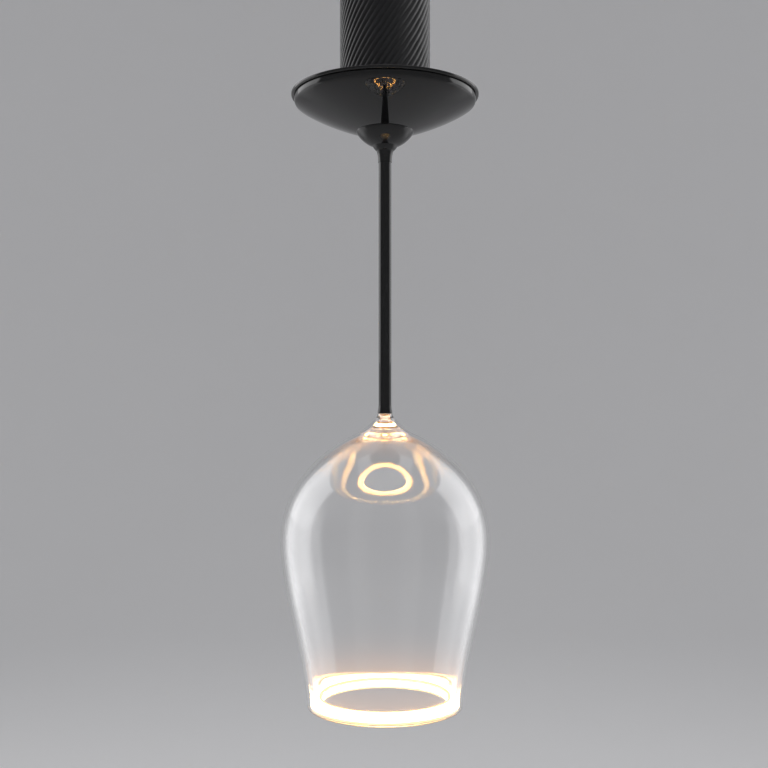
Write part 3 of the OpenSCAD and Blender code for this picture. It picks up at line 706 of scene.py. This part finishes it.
def make_cap():
    """The holder's top: a boss around the cord entry, a round shoulder, and the spigot inside the sleeve."""
    entry_r, boss_r, hollow_r, spigot_r = 5, 8, 17, 20.5
    face, low = -6, -19
    boss = fillet([(entry_r, 0, 0.15), (boss_r, 0, 0.6), (boss_r, face, 0.5), (12, face, 0)])[:-1]
    shoulder = curve((9, face), (17, face), (SLEEVE_R, -8), (SLEEVE_R, -10.5), 32)
    skirt = [(SLEEVE_R, -11.8), (22.3, SLEEVE_TOP), (spigot_r, SLEEVE_TOP), (spigot_r, low + 0.4)]
    skirt += [(20.1, low), (hollow_r, low), (hollow_r, SLEEVE_TOP), (entry_r, SLEEVE_TOP)]
    outline = [p for p in boss if p[0] < 8.6] + shoulder + skirt
    piece = revolve("holder_cap_turned", outline)
    posts = [cylinder(3, (0, s * POST_Y, -11.5), (0, s * POST_Y, low), 48) for s in (-1, 1)]
    combine(piece, posts, "UNION")
    holes = [cylinder(M3_R, (0, s * POST_Y, -8.5), (0, s * POST_Y, low - 1)) for s in (-1, 1)]
    holes.append(cylinder(M3_R, (4, 0, -3), (9, 0, -3)))
    holes.append(cylinder(M3_R, (-13, 0, -9), (-13, 0, -13)))
    combine(piece, holes + grub_holes(18.4), "DIFFERENCE")
    stand_for(piece, "holder_cap")


def threaded_rings(bm, thread, z_low, z_high, steps):
    """Rings of points whose radius waves along a right-handed thread."""
    middle, wave = thread
    rows = 120
    rings = []
    for k in range(rows + 1):
        z = z_low + (z_high - z_low) * k / rows
        ring = []
        for j in range(steps):
            a = math.tau * j / steps
            ring.append(bm.verts.new(polar(middle + wave * math.cos(a - math.tau * z / THREAD_PITCH), a, z)))
        rings.append(ring)
    return rings


def make_threaded(node, thread, z_low, z_high, outline):
    """A shell threaded between two heights and closed by an outline of radius and height."""
    steps = 128
    bm = bmesh.new()
    rings = threaded_rings(bm, thread, z_low, z_high, steps)
    rings += [circle(bm, r, z, steps) for r, z in outline]
    skin(bm, rings + rings[:1])
    stand_for(new_object(node + "_threaded", bm, 55), node)


def make_threads():
    """The bulb's screw shell and the shell that it turns in."""
    low, high = FOOT_TOP + 3.5, FOOT_TOP + 22
    rim = [(12.0, high), (11.4, high + 0.9), (9.9, high + 2.5), (9.4, high + 2.5)]
    bore = [(9.4, high - 1.1), (11.6, high - 1.1), (11.6, low)]
    make_threaded("screw_shell", CAP_THREAD, low, high - 0.05, rim + bore)

    shell_r, low, high = 14, -66, -46
    make_threaded("contact_shell", SHELL_THREAD, low, high, [(shell_r, high), (shell_r, low)])


# The centre contact's spring, between the insert's well and the contact's head
SPRING_TOP = -37
SPRING_LENGTH = 3.6


def make_spring():
    """Round wire in four turns. The real spring flattens as the contact is pressed up; this coil is built in
    one shape.
    """
    wire_r, coil_r, turns, steps, sides = 0.28, 2.85, 4, 40, 12
    low, rise = SPRING_TOP - SPRING_LENGTH + wire_r, SPRING_LENGTH - 2 * wire_r
    bm = bmesh.new()
    rings = []
    for k in range(turns * steps + 1):
        a = math.tau * k / steps
        z = low + rise * k / (turns * steps)
        ring = []
        for j in range(sides):
            b = math.tau * j / sides
            ring.append(bm.verts.new(polar(coil_r + wire_r * math.cos(b), a, z + wire_r * math.sin(b))))
        rings.append(ring)
    skin(bm, rings)
    for end in (rings[0], rings[-1]):
        bm.faces.new(end)
    piece = new_object("plunger_spring_coil", bm, 50)
    stand_for(piece, "plunger_spring")
    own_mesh(piece)


bowl = bowl_outline()
make_outer_bowl(bowl)
make_light_guide(bowl)
make_rim_ring(bowl)
make_foot_plate()
make_foot_dome()
make_stem()
make_sleeve()
make_cap()
make_threads()
make_spring()

for name, node in frame["nodes"].items():
    if not node.hide_render:
        node.data.materials.clear()
        node.data.materials.append(finishes[slot_of[name]])


def stage_material():
    """Pale paper that looks a little paler than the lamps make it, most of all left and right of the lamp."""
    colour, lift, side_lift = (0.78, 0.78, 0.79), 0.16, 1.1
    g = Graph("stage_paper")
    r = g.radius()
    behind = g.math("DIVIDE", g.axes()[1], r)
    sides = g.math("MULTIPLY", g.span(behind, -0.09, 0.03), g.span(behind, 0.86, 0.6))
    sides = g.math("MULTIPLY", sides, g.span(r, 0.8, 1.5))
    g.wire("Base Color", g.blend(g.noise(180, 2.0), tuple(c * 0.985 for c in colour), colour))
    g.wire("Roughness", 0.9)
    g.bump(g.noise(4, 3.0), 0.02)
    rays = g.add("LightPath").outputs
    seen = g.math("MAXIMUM", rays["Is Camera Ray"], rays["Is Glossy Ray"])
    seen = g.math("MAXIMUM", seen, rays["Is Transmission Ray"])
    level = g.math("ADD", g.math("MULTIPLY", sides, side_lift), lift)
    g.wire("Emission Color", (*colour, 1))
    g.wire("Emission Strength", g.math("MULTIPLY", seen, level))
    return g.material


def make_stage():
    """A round pale floor that curves up into a pale wall, so no line crosses the view from any side."""
    floor_z, inner, far, bend, height, steps, bend_steps = -0.8, 0.5, 2.2, 1.1, 3.6, 96, 24
    path = [(inner, floor_z), (far, floor_z)]
    for i in range(1, bend_steps + 1):
        a = math.pi / 2 * i / bend_steps
        path.append((far + bend * math.sin(a), floor_z + bend * (1 - math.cos(a))))
    path.append((far + bend, floor_z + height))
    bm = bmesh.new()
    rings = [circle(bm, r / MM, z / MM, steps) for r, z in path]
    bm.faces.new(rings[0])
    skin(bm, rings)
    stage = new_object("stage_floor", bm)
    stage.data.materials.append(stage_material())


def softbox(name, azimuth, distance, height, width, tall, level):
    """A lit panel that faces the lamp. Azimuth 0 is the camera's side, and a level of 1 is white."""
    data = bpy.data.lights.new(name, "AREA")
    data.shape = "RECTANGLE"
    data.size, data.size_y = width, tall
    data.energy = level * math.pi * width * tall
    lamp = bpy.data.objects.new(name, data)
    a = math.radians(azimuth)
    lamp.location = (distance * math.sin(a), -distance * math.cos(a), height)
    aim = Vector((0, 0, -0.2)) - lamp.location
    lamp.rotation_euler = aim.to_track_quat("-Z", "Y").to_euler()
    lamp.visible_transmission = False
    bpy.context.scene.collection.objects.link(lamp)


def make_lights():
    """Three panels and a dim grey world. Glass doesn't show the panels, only what stands behind it."""
    softbox("softbox_left", -112, 1.1, 0.4, 1.1, 1.2, 0.95)
    softbox("softbox_right", 112, 1.1, 0.4, 1.1, 1.2, 0.85)
    softbox("softbox_top", 0, 0.3, 1.6, 1.6, 1.6, 1.0)
    world = bpy.data.worlds.new("world")
    world.use_nodes = True
    world.node_tree.nodes["Background"].inputs["Color"].default_value = (0.5, 0.5, 0.51, 1)
    world.node_tree.nodes["Background"].inputs["Strength"].default_value = 0.6
    bpy.context.scene.world = world


def make_camera():
    """The photograph's view: level, with the frame shifted so that the horizon falls on its row."""
    data = bpy.data.cameras.new("camera")
    half_width = PHOTO_SIZE / 2 * PHOTO_SCALE * MM
    data.lens = data.sensor_width / 2 * CAMERA_DISTANCE / half_width
    data.shift_y = (HORIZON_ROW - PHOTO_SIZE / 2) / PHOTO_SIZE
    data.clip_start = 0.01
    camera = bpy.data.objects.new("camera", data)
    x = (PHOTO_SIZE / 2 - AXIS_COLUMN) * PHOTO_SCALE * MM
    z = (FOOT_TOP - (HORIZON_ROW - FOOT_ROW) * PHOTO_SCALE) * MM
    camera.location = (x, -CAMERA_DISTANCE, z)
    camera.rotation_euler = (math.pi / 2, 0, 0)
    bpy.context.scene.collection.objects.link(camera)
    bpy.context.scene.camera = camera


make_stage()
make_lights()
make_camera()

scene = bpy.context.scene
scene.view_settings.view_transform = "Standard"
scene.cycles.max_bounces = 32
scene.cycles.transmission_bounces = 32
scene.cycles.glossy_bounces = 12
# The ring's mirror images in glass and lacquer are brighter than the usual limit of 10
scene.cycles.sample_clamp_indirect = 50
